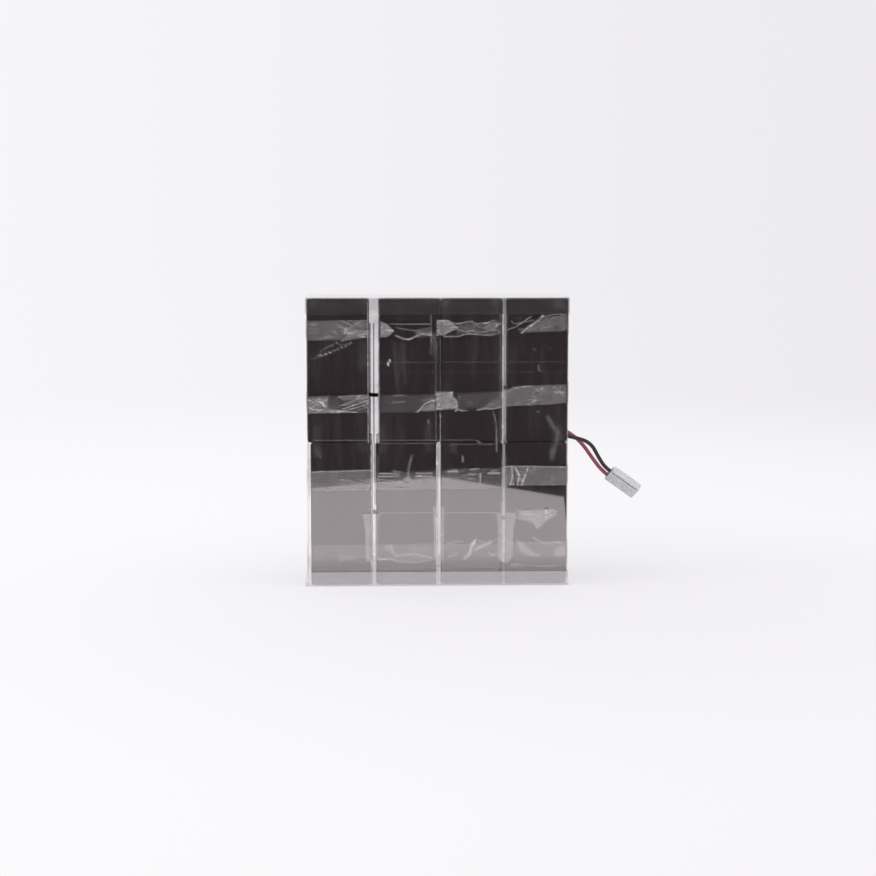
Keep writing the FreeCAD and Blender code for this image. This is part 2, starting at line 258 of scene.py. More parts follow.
# Plug: pale nylon, a little cloudy, with fine ribs along the moulding; the ribs are bumped, and their light
# and shade is also painted as pale and dark stripes
plugLook = {
    "dark": (0.37, 0.37, 0.38, 1.0),
    "pale": (0.95, 0.95, 0.96, 1.0),
    "turn": (40.0, 35.5),  # roll and droop
    "ribPitch": 0.0028,
}


def plugFinish():
    finish = newFinish("plugNylon")
    place = finish.place()
    roll, droop = plugLook["turn"]
    unDroop = {"Vector": place, "Rotation": (0.0, math.radians(-droop), 0.0)}
    level = finish.node("ShaderNodeMapping", None, unDroop)[0]
    unRoll = {"Vector": level, "Rotation": (math.radians(-roll), 0.0, 0.0)}
    along, across, up = finish.axes(finish.node("ShaderNodeMapping", None, unRoll)[0])
    pitch = plugLook["ribPitch"]
    rib = (up.combine("PINGPONG", pitch / 2) + across.combine("PINGPONG", pitch / 2)) / pitch
    cloud = finish.noise(place, 130.0, 4.0)
    scuff = finish.noise(place, 900.0, 2.0)
    # painted shading of the ribs: the stripes carry most of the mix between the dark and pale tones
    color = finish.mix(cloud.ramp(0.2, 0.8) * 0.25 + rib * 0.75, plugLook["dark"], plugLook["pale"])
    height = rib + scuff * 0.3
    normal = finish.bump(height, 0.0003, 0.6)
    values = {"Base Color": color, "Roughness": 0.3 + cloud * 0.15, "Normal": normal}
    return finish.end(finish.principled(**values))


# Trays: what goes through goes straight on, and what does not is reflected
trayLook = {
    "clear": grey(0.985),
    "gloss": 0.076,
    "roughness": 0.05,
    "ripple": (30.0, 0.00002),  # scale and depth
    "topHaze": (0.015, grey(0.75)),
    "bottomHaze": (0.12, (0.86, 0.82, 0.88, 1.0)),
}


def trayFinish(name, haze, hazeColor):
    finish = newFinish(name)
    scale, depth = trayLook["ripple"]
    wave = finish.noise(finish.place(), scale, 3.0, 0.5, 0.4)
    normal = finish.bump(wave, depth, 1.0)
    through = finish.node("ShaderNodeBsdfTransparent", None, {"Color": trayLook["clear"]})[0]
    shine = {"Base Color": grey(1.0), "Metallic": 1.0, "Roughness": trayLook["roughness"], "Normal": normal}
    mirror = finish.principled(**shine)
    milk = finish.principled(**{"Base Color": hazeColor, "Roughness": 0.4, "Normal": normal})
    film = finish.mixShader(haze, through, milk)
    return finish.end(finish.mixShader(finish.edgeGloss(trayLook["gloss"]), film, mirror))


# Film: like the trays, with milky creases and painted highlights from its "haze" attribute, and painted
# shade from "shade": dark lines and dimmed gaps
filmLook = {
    "clear": (0.99, 0.985, 0.99, 1.0),
    # tint of the painted shade
    "shade": (0.25, 0.24, 0.26, 1.0),
    "milk": (0.70, 0.665, 0.68, 1.0),
    "mirror": (1.0, 0.955, 0.97, 1.0),
    "milkiness": 1.15,
    "crinkle": 1.1,
    "tape": (0.046, 0.25),  # gloss, and how strong its streaks are
    "sheet": (0.13, 0.2),
}


def filmFinish(name, gloss, streak):
    finish = newFinish(name)
    place = finish.place()
    drag = finish.noise(finish.stretch(place, (1.0, 1.0, 7.0)), 90.0, 4.0, 0.6, 0.3)
    mottle = finish.noise(place, 130.0, 4.0, 0.65)
    crinkle = finish.noise(finish.stretch(place, (48.0, 48.0, 150.0)), 1.0, 2.0, 0.5, 1.0)
    ridge = (1.0 - (crinkle - 0.5).size() * 30.0).most(0.0) * finish.noise(place, 55.0, 1.0).ramp(0.4, 0.6)
    haze = finish.node("ShaderNodeAttribute", {"attribute_name": "haze"})["Fac"]
    streaks = 1.0 - streak + 2.0 * streak * drag
    cloud = 0.35 + 0.9 * mottle + filmLook["crinkle"] * ridge
    haze = haze * streaks * cloud * filmLook["milkiness"]
    normal = finish.bump(finish.noise(place, 14.0, 2.0), 0.000006)
    through = finish.node("ShaderNodeBsdfTransparent", None, {"Color": filmLook["clear"]})[0]
    milk = finish.principled(**{"Base Color": filmLook["milk"], "Roughness": 0.45})
    rough = 0.02 + haze * 0.4
    shine = {"Base Color": filmLook["mirror"], "Metallic": 1.0, "Roughness": rough, "Normal": normal}
    mirror = finish.principled(**shine)
    # painted shade: where "shade" is set, the film turns into a dark filter over what is behind it
    shade = finish.node("ShaderNodeAttribute", {"attribute_name": "shade"})["Fac"]
    dark = finish.node("ShaderNodeBsdfTransparent", None, {"Color": filmLook["shade"]})[0]
    film = finish.mixShader(shade, finish.mixShader(haze, through, milk), dark)
    return finish.end(finish.mixShader(finish.edgeGloss(gloss), film, mirror))


def dress(node, material):
    mesh = nodes[node].data
    mesh.materials.clear()
    mesh.materials.append(material)


def dressNodes():
    case = caseFinish()
    lid = lidFinish()
    tin = tinFinish()
    looks = {
        "battery_case": case,
        "battery_lid": lid,
        "vent_cover": lid,
        "terminal_tabs": tin,
        "positive_seals": sealFinish("redSeal", (0.34, 0.02, 0.02, 1), (0.5, 0.04, 0.03, 1)),
        "negative_seals": sealFinish("blackSeal", (0.012, 0.012, 0.014, 1), (0.035, 0.035, 0.04, 1)),
        "receptacle_clips": tin,
        "receptacle_covers": coverFinish(),
        "jumpers": wireFinish("black"),
        "plug_housing": plugFinish(),
        "plug_contacts": tin,
        "top_tray": trayFinish("clearTray", *trayLook["topHaze"]),
        "bottom_tray": trayFinish("clearTrayLow", *trayLook["bottomHaze"]),
    }
    looks["black_lead_inner"] = looks["jumpers"]
    looks["red_lead_inner"] = wireFinish("red")
    for node in nodes:
        for start, material in looks.items():
            if node.startswith(start):
                dress(node, material)
    return looks


# Film marks, in millimetres across and up the front. A patch has its haze, its soft edge and its
# corners; a crease has its haze, its width, how far it stands up and its line; a clearing takes
# haze away; a shade is painted shade, which darkens what is behind it. The haze is milky film, and
# also painted light where folds, battery edges and the gaps between the batteries catch the light.
# "rise" lifts a band by so much at each place across.
filmMarks = {
    "tape_band_top": {
        "rise": [(-140, 0), (66, 0), (112, 6), (140, 6)],
        "patches": [
            (0.17, 2, [(-137, 280), (-105, 281), (-97, 276), (-93, 268), (-98, 261), (-137, 260)]),
            (0.3, 3, [(-104, 276), (-89, 272), (-73, 271), (-73, 264), (-98, 261), (-95, 268)]),
            (0.2, 3, [(-89, 280), (-73, 283), (-73, 271), (-88, 273)]),
            (0.14, 4, [(-102, 279), (-88, 284), (-86, 272), (-98, 268)]),
            (0.34, 2, [(-60, 280), (-51, 276), (-45, 270), (-51, 265), (-60, 264)]),
            (0.22, 4, [(-23, 269), (-7, 270), (-7, 265), (-21, 264)]),
            (0.3, 2, [(-1, 285), (9, 286), (10, 281), (20, 274), (7, 265), (-1, 265)]),
            (0.12, 4, [(20, 277), (62, 277), (65, 270), (20, 267)]),
            (0.22, 3, [(49, 276), (62, 280), (64, 276), (62, 273), (50, 273)]),
            (0.17, 2, [(88, 268), (108, 280), (113, 284), (135, 286), (135, 270)]),
        ],
        "creases": [
            (0.3, 1, 0.5, [(-105, 286), (-90, 280), (-80, 275)]),
            (0.34, 0.9, 0.3, [(-91, 287), (-80, 288), (-73, 287), (-44, 286)]),
            (0.3, 0.9, 0.3, [(-122, 284), (-100, 287), (-85, 289)]),
            (0.4, 1.0, 0.4, [(-107, 285), (-99, 280), (-90, 276), (-84, 270), (-75, 266)]),
            (0.38, 1.1, 0.4, [(-98, 267), (-91, 274), (-82, 279), (-73, 286)]),
            (0.32, 0.8, 0.3, [(-104, 281), (-97, 274), (-88, 268)]),
            (0.3, 0.8, 0.3, [(-93, 283), (-84, 280), (-78, 272)]),
            (0.34, 1.3, 0.4, [(20, 272), (28, 269), (36, 270), (44, 268), (55, 270), (66, 278)]),
            (0.24, 1.6, 0.4, [(38, 278), (45, 273), (52, 272), (64, 270)]),
            (0.24, 1.2, 0.3, [(73, 271), (82, 274), (89, 279), (98, 285)]),
            (0.2, 1.1, 0.3, [(74, 285), (83, 283), (92, 286)]),
            (0.22, 0.9, 0.3, [(-91, 291), (-74, 289)]),
            (0.26, 1, 0.4, [(-95, 269), (-86, 276), (-79, 279)]),
            (0.28, 1.2, 0.4, [(-104, 276), (-103, 272), (-93, 272), (-74, 268)]),
            (0.3, 1, 0.3, [(-100, 260), (-86, 262), (-73, 264), (-53, 264)]),
            (0.22, 1.2, 0.4, [(-49, 277), (-9, 277)]),
            (0.32, 1.5, 0.5, [(-44, 265), (-36, 262), (-30, 261), (-23, 264), (-18, 268), (-7, 266)]),
            (0.2, 1.2, 0.4, [(-43, 273), (-32, 271), (-23, 270), (-8, 273)]),
            (0.44, 1.3, 0.5, [(7, 267), (20, 273), (9, 281), (4, 283)]),
            (0.3, 1.2, 0.4, [(10, 281), (19, 277), (36, 280), (38, 277), (52, 278), (58, 281), (66, 283)]),
            (0.28, 1.3, 0.4, [(7, 264), (22, 264), (31, 267), (44, 266), (55, 265), (65, 268)]),
            (0.3, 1, 0.3, [(49, 268), (54, 270), (60, 270), (57, 267), (49, 266)]),
            (0.26, 0.8, 0.2, [(44, 286), (66, 286)]),
            (0.28, 1.2, 0.3, [(72, 284), (85, 284)]),
            (0.22, 1.2, 0.3, [(77, 280), (80, 277), (91, 279), (100, 281)]),
            (0.36, 2.4, 0.6, [(88, 268), (96, 274), (106, 281), (110, 285)]),
            (0.3, 1, 0.3, [(112, 284), (120, 287), (135, 287)]),
            (0.2, 1.2, 0.3, [(85, 271), (92, 272)]),
        ],
        "clearings": [
            (0.24, 1.2, -0.3, [(-51, 276), (-43, 270), (-45, 268)]),
            (0.1, 3, 0, [(123, 273), (126, 273)]),
            (0.08, 2, 0, [(44, 272), (46, 272)]),
        ],
    },
    "tape_band_upper": {
        "rise": [(-140, 0), (0, 1), (60, 3), (75, 7), (140, 10)],
        "patches": [
            (0.3, 4, [(-137, 200), (-114, 201), (-115, 190), (-136, 187)]),
            (0.28, 2, [(-137, 187), (-127, 188), (-101, 186), (-86, 185), (-101, 184), (-137, 183)]),
            (0.22, 2, [(-104, 201), (-73, 203), (-73, 198), (-100, 197)]),
            (0.08, 3, [(-101, 197), (-73, 198), (-73, 183), (-84, 183), (-100, 187)]),
            (0.09, 4, [(-116, 200), (-102, 201), (-101, 187), (-116, 188)]),
            (0.07, 3, [(-60, 202), (-3, 203), (-3, 186), (-60, 183)]),
            (0.3, 2, [(-19, 186), (-14, 191), (-3, 196), (-3, 186)]),
            (0.18, 3, [(-20, 197), (-3, 202), (-3, 197), (-13, 194)]),
            (0.36, 2, [(-2, 206), (16, 206), (16, 201), (20, 198), (22, 192), (20, 188), (-2, 187)]),
            (0.08, 3, [(20, 204), (66, 206), (67, 190), (21, 187)]),
            (0.18, 4, [(42, 186), (50, 192), (57, 198), (66, 200), (67, 190)]),
            (0.19, 2, [(66, 205), (80, 211), (97, 212), (135, 213), (135, 194), (104, 192), (67, 190)]),
        ],
        "creases": [
            (0.42, 1.2, 0.5, [
                (-136, 186), (-133, 188), (-127, 188), (-114, 188), (-101, 186), (-86, 185), (-83, 183),
            ]),
            (0.3, 1, 0.3, [(-135, 186), (-128, 192)]),
            (0.3, 1.2, 0.3, [(-104, 201), (-88, 202), (-73, 202)]),
            (0.5, 1, 0.4, [(-100, 188), (-86, 193), (-74, 197)]),
            (0.45, 0.9, 0.4, [(-101, 192), (-88, 197), (-74, 201)]),
            (0.4, 0.9, 0.4, [(-99, 186), (-84, 190), (-73, 193)]),
            (0.5, 1, 0.4, [(-135, 198), (-126, 193), (-116, 198)]),
            (0.5, 1, 0.4, [(-133, 189), (-124, 196), (-117, 191)]),
            (0.3, 1, 0.4, [(-98, 192), (-86, 196), (-76, 198)]),
            (0.34, 1, 0.4, [(-91, 188), (-79, 192), (-73, 195)]),
            (0.26, 1, 0.3, [(-84, 187), (-73, 191)]),
            (0.3, 0.9, 0.3, [(-123, 196), (-118, 193), (-121, 191)]),
            (0.16, 1.5, 0.3, [(-48, 196), (-35, 196)]),
            (0.16, 1.5, 0.3, [(-46, 202), (-36, 203)]),
            (0.52, 1.2, 0.7, [(-34, 183), (-23, 184), (-19, 187), (-14, 193), (-8, 196), (-3, 197)]),
            (0.36, 1.4, 0.5, [(17, 184), (21, 188), (26, 186), (32, 185)]),
            (0.3, 1.5, 0.5, [(42, 187), (50, 189), (58, 188), (67, 191)]),
            (0.44, 1.2, 0.4, [(11, 205), (15, 205), (15, 201), (12, 201)]),
            (0.34, 1.2, 0.4, [(12, 193), (20, 192), (20, 188)]),
            (0.36, 1.2, 0.4, [(73, 206), (80, 210), (97, 212)]),
            (0.28, 1.2, 0.3, [(89, 193), (97, 194), (107, 198)]),
            (0.24, 1, 0.3, [(74, 191), (104, 192), (135, 195)]),
        ],
        "clearings": [
            (0.12, 1, 0, [(-98, 190), (-84, 195)]),
            (0.12, 1, 0, [(-94, 187), (-78, 191)]),
        ],
    },
    "tape_band_lower": {
        "rise": [(-140, -1), (66, 1), (75, 4), (140, 4)],
        "patches": [
            (0.19, 2, [(-134, 122), (-95, 123), (-70, 124), (-70, 106), (-106, 101), (-134, 101)]),
            (0.1, 3, [(-64, 121), (-3, 122), (-3, 109), (-64, 107)]),
            (0.22, 3, [(-47, 123), (-39, 122), (-40, 114), (-46, 116)]),
            (0.1, 3, [(-4, 123), (68, 126), (68, 105), (-4, 115)]),
            (0.2, 2, [(67, 127), (136, 126), (136, 106), (67, 106)]),
            (0.22, 2, [(133, 126), (136, 126), (136, 106), (133, 106)]),
        ],
        "creases": [
            (0.3, 1, 0.3, [(-132, 122), (-95, 123), (-70, 124)]),
            (0.36, 1.6, 0.4, [(-102, 114), (-92, 113), (-83, 110)]),
            (0.45, 1.2, 0.4, [(-63, 117), (-47, 117)]),
            (0.33, 1, 0.3, [(-63, 114), (-48, 113)]),
            (0.33, 1, 0.3, [(-63, 111), (-44, 111)]),
            (0.45, 1, 0.3, [(-61, 120), (-48, 120)]),
            (0.51, 1.4, 0.4, [(-46, 109), (-40, 111), (-32, 109)]),
            (0.45, 1.4, 0.4, [(-46, 104), (-34, 104)]),
            (0.45, 1.2, 0.3, [(-22, 120), (-6, 120)]),
            (0.45, 1.4, 0.3, [(-23, 117), (-6, 117)]),
            (0.51, 1.4, 0.3, [(11, 122), (21, 122)]),
            (0.36, 1, 0.3, [(15, 124), (20, 124)]),
            (0.42, 1, 0.3, [(35, 124), (43, 125)]),
            (0.33, 1, 0.3, [(33, 119), (39, 119)]),
            (0.33, 1, 0.3, [(33, 115), (39, 114)]),
            (0.42, 2, 0.3, [(45, 119), (45, 109)]),
            (0.51, 1.3, 0.3, [(53, 120), (65, 120)]),
            (0.36, 1, 0.3, [(57, 122), (62, 123)]),
            (0.51, 1.8, 0.5, [(82, 126), (86, 118), (84, 106)]),
            (0.51, 1.8, 0.5, [(95, 125), (92, 117), (88, 106)]),
            (0.45, 1.8, 0.4, [(78, 127), (79, 117), (76, 106)]),
            (0.39, 1, 0.2, [(67, 127), (97, 127), (136, 126)]),
            (0.36, 1, 0.2, [(73, 106), (136, 106)]),
        ],
        "clearings": [
            (0.12, 1.5, 0, [(81, 121), (82, 106)]),
        ],
    },
    "tape_band_base": {
        "rise": [(-140, 0), (66, 2), (140, 4)],
        "patches": [
            (0.05, 3, [(-135, 44), (-3, 44), (-3, 24), (-135, 24)]),
            (0.05, 3, [(-8, 47), (137, 49), (137, 31), (-8, 25)]),
        ],
        "creases": [],
        "clearings": [],
    },
    "clear_sleeve": {
        "rise": [(-140, 0), (140, 0)],
        "patches": [
            # painted light, with milky film: these first patches brighten the film over and beside the gaps
            # between the batteries
            (0.25, 1, [(-67.4, 286), (-62.6, 286), (-62.6, 262), (-67.4, 262)]),
            (0.16, 1.4, [(69.6, 288), (72.6, 288), (72.2, 153), (69.6, 153)]),
            (0.12, 1.4, [(64.8, 288), (66.6, 288), (66.6, 153), (65.2, 153)]),
            (0.09, 1.5, [(-61.8, 140), (-72, 140), (-71, 86), (-63, 86)]),
            (0.1, 1.5, [(67, 140), (73, 140), (73, 84), (66, 84)]),
            (0.34, 1.2, [(-79, 77), (-71, 77), (-71, 26), (-75.5, 26), (-76.5, 60)]),
            (0.3, 1.2, [(-66, 77), (-61.5, 77), (-63, 66), (-63, 27), (-66, 27)]),
            (0.2, 1.5, [(-70, 84), (-65, 84), (-65, 26), (-70, 26)]),
            (0.3, 1.2, [(-5, 84), (-0.5, 84), (-0.5, 27), (-4, 27), (-4, 60)]),
            (0.28, 1.2, [(2.8, 84), (7, 84), (6, 60), (6, 27), (2.8, 27)]),
            (0.32, 1.5, [(62, 78), (84, 78), (80, 60), (79, 30), (70, 22), (64, 28), (64, 66)]),
            (0.3, 1.5, [(66.5, 90), (72, 90), (72, 30), (66.5, 30)]),
            (0.36, 2, [
                (86, 80), (98, 79), (119, 81), (126, 80), (125, 75),
                (114, 68), (105, 60), (101, 67), (86, 71),
            ]),
            (0.3, 2.5, [(84, 48), (90, 45), (105, 32), (95, 31), (86, 38)]),
            (0.2, 2.5, [(38, 36), (46, 40), (58, 46), (52, 47), (40, 42)]),
            (0.22, 3, [(-56, 44), (-49, 44), (-47, 36), (-55, 37)]),
            (0.16, 3, [(-47, 33), (-12, 33), (-12, 29), (-46, 30)]),
            (0.12, 4, [(-30, 42), (-8, 42), (-8, 36), (-30, 36)]),
            (0.16, 4, [(-104, 33), (-90, 33), (-90, 27), (-104, 27)]),
            (0.3, 2.5, [(124, 38), (136, 44), (136, 31), (124, 31)]),
            (0.06, 4, [(117, 178), (128, 168), (131, 156), (124, 142), (120, 142), (122, 164)]),
            (0.06, 4, [(-134, 303), (-124, 303), (-124, 296), (-134, 296)]),
            (0.07, 4, [(-81, 303), (-73, 303), (-73, 297), (-81, 297)]),
            (0.06, 4, [(-15, 303), (1, 303), (1, 300), (-15, 298)]),
            (0.09, 4, [(3, 303), (12, 303), (9, 295), (4, 294)]),
            (0.07, 4, [(57, 303), (66, 303), (66, 297), (57, 297)]),
            (0.08, 4, [(122, 302), (133, 303), (133, 292), (122, 295)]),
            (0.035, 6, [(-82, 259), (-73, 259), (-73, 228), (-82, 228)]),
            (0.03, 5, [(-39, 257), (-34, 257), (-34, 228), (-40, 228)]),
            (0.04, 5, [(-130, 170), (-123, 170), (-123, 143), (-131, 143)]),
            (0.04, 5, [(-13, 173), (-6, 173), (-6, 143), (-13, 143)]),
            (0.045, 5, [(-59, 170), (-55, 170), (-55, 143), (-60, 143)]),
            (0.03, 5, [(-84, 157), (-73, 157), (-73, 143), (-84, 143)]),
            (0.06, 3, [(-132, 145), (-121, 145), (-122, 136), (-130, 140)]),
            (0.05, 3, [(12, 152), (20, 152), (19, 140), (12, 142)]),
            (0.1, 4, [(-7, 268), (-1, 268), (-1, 240), (-5, 250)]),
            (0.07, 3, [(118, 148), (126, 148), (123, 134), (118, 134)]),
        ],
        "creases": [
            # painted light: the upright creases from here to the one at 68.3 brighten the gaps between the
            # batteries and their edges
            (0.22, 0.9, 0.2, [(-69.3, 286), (-69.3, 207)]),
            (0.5, 1.0, 0.0, [(-73.0, 300), (-73.0, 153)]),
            (0.5, 1.0, 0.0, [(-61.7, 300), (-61.7, 153)]),
            (0.8, 1.2, 0.2, [(-69.7, 151), (-69.7, 3)]),
            (0.85, 1.3, 0.2, [(-0.7, 151), (-0.7, 3)]),
            (0.11, 1.1, 0.2, [(-1.9, 262), (-1.9, 206)]),
            (0.14, 1.2, 0.2, [(-1.9, 183), (-1.9, 155)]),
            (0.07, 1.0, 0.2, [(2.8, 262), (2.8, 206)]),
            (0.26, 1.2, 0.2, [(2.8, 183), (2.8, 155)]),
            (0.16, 1.0, 0.2, [(2.8, 152), (2.8, 86)]),
            (0.2, 1.6, 0.0, [(-7.0, 286), (-7.0, 258)]),
            (0.1, 1.6, 0.0, [(-7.0, 260), (-7.2, 246)]),
            (0.65, 1.5, 0.1, [(68.3, 286), (68.3, 153)]),
            (0.26, 0.8, 0.1, [(-62, 78), (-6, 78)]),
            (0.3, 0.8, 0.1, [(8, 78), (62, 78)]),
            (0.4, 0.9, 0.1, [(-80, 77), (-60, 77)]),
            (0.34, 0.8, 0.1, [(-76, 83), (-64, 83)]),
            (0.34, 1.0, 0.2, [(64, 40), (66, 27), (70, 23), (75, 26), (79, 40)]),
            (0.26, 0.8, 0.1, [(77, 22), (136, 19)]),
            (0.4, 1.0, 0.2, [(88, 79), (104, 80), (117, 81)]),
            (0.4, 1.0, 0.2, [(84, 83), (80, 76), (86, 71)]),
            (0.6, 1.6, 0.2, [(-50, 44), (-48, 37), (-45, 33)]),
            (0.4, 1.6, 0.2, [(-45, 32), (-28, 34), (-14, 32), (-6, 29)]),
            (0.5, 1.5, 0.2, [(-65, 29), (-48, 28), (-42, 26)]),
            (0.3, 1.6, 0.2, [(-40, 26), (-22, 25), (-8, 28)]),
            (0.2, 1.6, 0.2, [(-101, 31), (-92, 27)]),
            (0.85, 1.9, 0.3, [(40, 48), (36, 43), (35, 38), (34, 34), (29, 29)]),
            (0.4, 1.5, 0.2, [(38, 37), (46, 41), (55, 46)]),
            (0.3, 1.5, 0.2, [(43, 47), (52, 46), (64, 49)]),
            (0.3, 1.6, 0.2, [(11, 46), (26, 47)]),
            (0.25, 1.6, 0.2, [(12, 31), (21, 34)]),
            (0.4, 1.5, 0.2, [(55, 33), (62, 31)]),
            (0.4, 1.8, 0.2, [(84, 48), (90, 39), (98, 33), (107, 31)]),
            (0.35, 1.5, 0.2, [(101, 51), (108, 47), (117, 44), (131, 46)]),
            (0.35, 1.8, 0.2, [(124, 31), (134, 38)]),
            # painted highlights: the rounded battery edges where the two rows meet
            (0.17, 0.8, 0.1, [(-131, 155), (-73, 155)]),
            (0.17, 0.8, 0.1, [(-60, 155), (0, 155)]),
            (0.15, 0.8, 0.1, [(6, 155), (42, 155)]),
            (0.10, 0.8, 0.1, [(-64, 152), (-4, 152)]),
            (0.14, 0.8, 0.1, [(16, 150.5), (59, 150.5)]),
            (0.34, 1.0, 0.3, [(-125, 243), (-119, 245), (-109, 249), (-97, 254), (-90, 258)]),
            (0.12, 1.2, 0.3, [(-131, 240), (-125, 243)]),
            (0.2, 0.9, 0.3, [(-125, 244), (-120, 250), (-108, 257), (-98, 260)]),
            (0.14, 0.9, 0.2, [(-113, 254), (-103, 256), (-96, 257)]),
            (0.95, 1.5, 0.0, [(-52.3, 234), (-50.2, 239)]),
            (0.07, 0.8, 0.1, [(-88, 237), (-73, 237)]),
            (0.1, 0.8, 0.1, [(-60, 237), (0, 237)]),
            (0.08, 0.8, 0.1, [(6, 237), (135, 237)]),
            (0.05, 0.8, 0.1, [(-60, 226.6), (135, 226.6)]),
            (0.05, 0.8, 0.1, [(-60, 288.2), (136, 288.2)]),
            (0.07, 0.8, 0.1, [(-132, 287), (-100, 287)]),
            (0.06, 0.8, 0.1, [(-134, 297), (136, 297)]),
            (0.05, 0.8, 0.1, [(-134, 293.6), (-74, 293.6)]),
            (0.24, 1.4, 0.2, [(59, 184), (61, 174), (62, 157), (62, 143)]),
            (0.14, 4, 0.1, [(116, 179), (121, 169), (127, 163), (125, 152), (122, 142)]),
            (0.2, 1.6, 0.1, [(105, 185), (106, 184)]),
            (0.2, 1.6, 0.1, [(106, 233), (107, 227)]),
            (0.12, 1.6, 0.1, [(101, 251), (102, 249)]),
            (0.12, 1.6, 0.1, [(117, 251), (119, 250)]),
            (0.3, 1.6, 0.1, [(42, 154), (44, 152)]),
            (0.22, 1.8, 0.1, [(-10, 176), (-10, 173)]),
            (0.26, 1.8, 0.2, [(-27, 138), (-30, 129), (-32, 115)]),
            (0.34, 1.5, 0.2, [(26, 138), (27, 132)]),
            (0.12, 1.8, 0.1, [(-127, 144), (-123, 137)]),
            (0.035, 3, 0.0, [(-46, 258), (-44, 232), (-41, 206)]),
            (0.035, 3, 0.0, [(-36, 256), (-35, 232), (-34, 215)]),
        ],
        "clearings": [],
        "shades": [
            # painted shade: dimmed strips in the gaps between the batteries, and dark lines along them
            (0.3, 1, [(-70.6, 152), (-63.5, 152), (-63.5, 2), (-70.6, 2)]),
            (0.9, 0.9, [(-72.3, 278), (-69.9, 278), (-69.9, 152), (-72.3, 152)]),
            (0.72, 0.8, [(-67.9, 278), (-66.1, 278), (-66.1, 152), (-67.9, 152)]),
            (0.8, 0.9, [(-67.0, 152), (-63.5, 152), (-63.5, 86), (-67.0, 86)]),
            (0.55, 0.9, [(-66.4, 80), (-63.5, 80), (-63.5, 2), (-66.4, 2)]),
            (0.15, 1, [(69.2, 288), (70.6, 288), (70.6, 153), (69.2, 153)]),
            (0.8, 1, [(65.6, 25), (71, 25), (71, 2), (65.6, 2)]),
            (0.25, 1, [(-0.5, 22), (4, 22), (4, 2), (-0.5, 2)]),
        ],
    },
}


perMetre = 1000  # the marks are in millimetres
wrapSet = {
    "corner": 0.0026,
    "tapeCell": 0.0006,
    "sleeveCell": 0.0017,
    "sideCell": 0.006,
    "lift": 0.4,  # share of each crease's height
    "backHaze": (0.2, 0.05),  # of tape and of sheet
    "clouding": 60,
    "lapWidth": 0.026,
    "lapGap": 0.0006,
    "lapHaze": (0.06, 0.35),  # within it and at its rim
}


def riseAt(steps, x):
    for (x0, z0), (x1, z1) in zip(steps, steps[1:]):
        if x <= x1:
            return z0 + (z1 - z0) * max(0.0, (x - x0) / (x1 - x0))
    return steps[-1][1]


def offLine(spot, line):
    nearest = 1000.0
    for start, end in zip(line, line[1:]):
        share = intersect_point_line(spot, start, end)[1]
        nearest = min(nearest, (start.lerp(end, min(max(share, 0.0), 1.0)) - spot).length)
    return nearest


def insideOf(spot, corners):
    inside = False
    for a, b in zip(corners, corners[1:] + corners[:1]):
        if (a.y > spot.y) != (b.y > spot.y) and spot.x < a.x + (b.x - a.x) * (spot.y - a.y) / (b.y - a.y):
            inside = not inside
    return inside


def readPatches(patches):
    return [(haze, soft, [Vector(corner) for corner in corners]) for haze, soft, corners in patches]


def readLines(lines, sign):
    return [(sign * haze, width, lift, [Vector(c) for c in line]) for haze, width, lift, line in lines]


def readMarks(marks):
    lines = readLines(marks["creases"], 1) + readLines(marks["clearings"], -1)
    return readPatches(marks["patches"]), lines


def patchAt(spot, patches):
    strongest = 0.0
    for strength, soft, corners in patches:
        if min(c.x for c in corners) - soft < spot.x < max(c.x for c in corners) + soft:
            edge = offLine(spot, corners + corners[:1])
            depth = edge if insideOf(spot, corners) else -edge
            strongest = max(strongest, strength * min(max(0.5 + depth / soft, 0.0), 1.0))
    return strongest


# Haze, which is milky film and painted light, and lift at one spot of the front
def markAt(spot, patches, lines):
    haze = patchAt(spot, patches)
    lift = 0.0
    shine = 0.0
    for strength, width, height, line in lines:
        if min(c.x for c in line) - 2 * width < spot.x < max(c.x for c in line) + 2 * width:
            near = max(0.0, 1.0 - offLine(spot, line) / width)
            near = near * near * (3.0 - 2.0 * near)
            lift = max(lift, height * near)
            if strength < 0.0:
                haze = max(0.0, haze + strength * near)
            else:
                shine = max(shine, strength * near)
    return max(haze, shine), lift


def cutAt(bm, place, direction):
    everything = bm.verts[:] + bm.edges[:] + bm.faces[:]
    bmesh.ops.bisect_plane(bm, geom=everything, dist=1e-6, plane_co=place, plane_no=direction)


# A straight crease gets its own rows of points, so that it stays thin
def cutAlongCreases(bm, creases):
    for haze, width, lift, line in creases:
        (x0, z0), (x1, z1) = line[0], line[-1]
        if len(line) == 2 and x0 == x1:
            for x in (x0 - width, x0, x0 + width):
                cutAt(bm, (x / perMetre, 0, 0), (1, 0, 0))
        elif len(line) == 2 and z0 == z1:
            for z in (z0 - width, z0, z0 + width):
                cutAt(bm, (0, 0, z / perMetre), (0, 0, 1))


# So does each edge of an upright shade
def cutAlongShades(bm, shades):
    for strength, soft, corners in shades:
        for x in (corners[0][0], corners[1][0]):
            cutAt(bm, ((x - soft / 2) / perMetre, 0, 0), (1, 0, 0))
            cutAt(bm, ((x + soft / 2) / perMetre, 0, 0), (1, 0, 0))


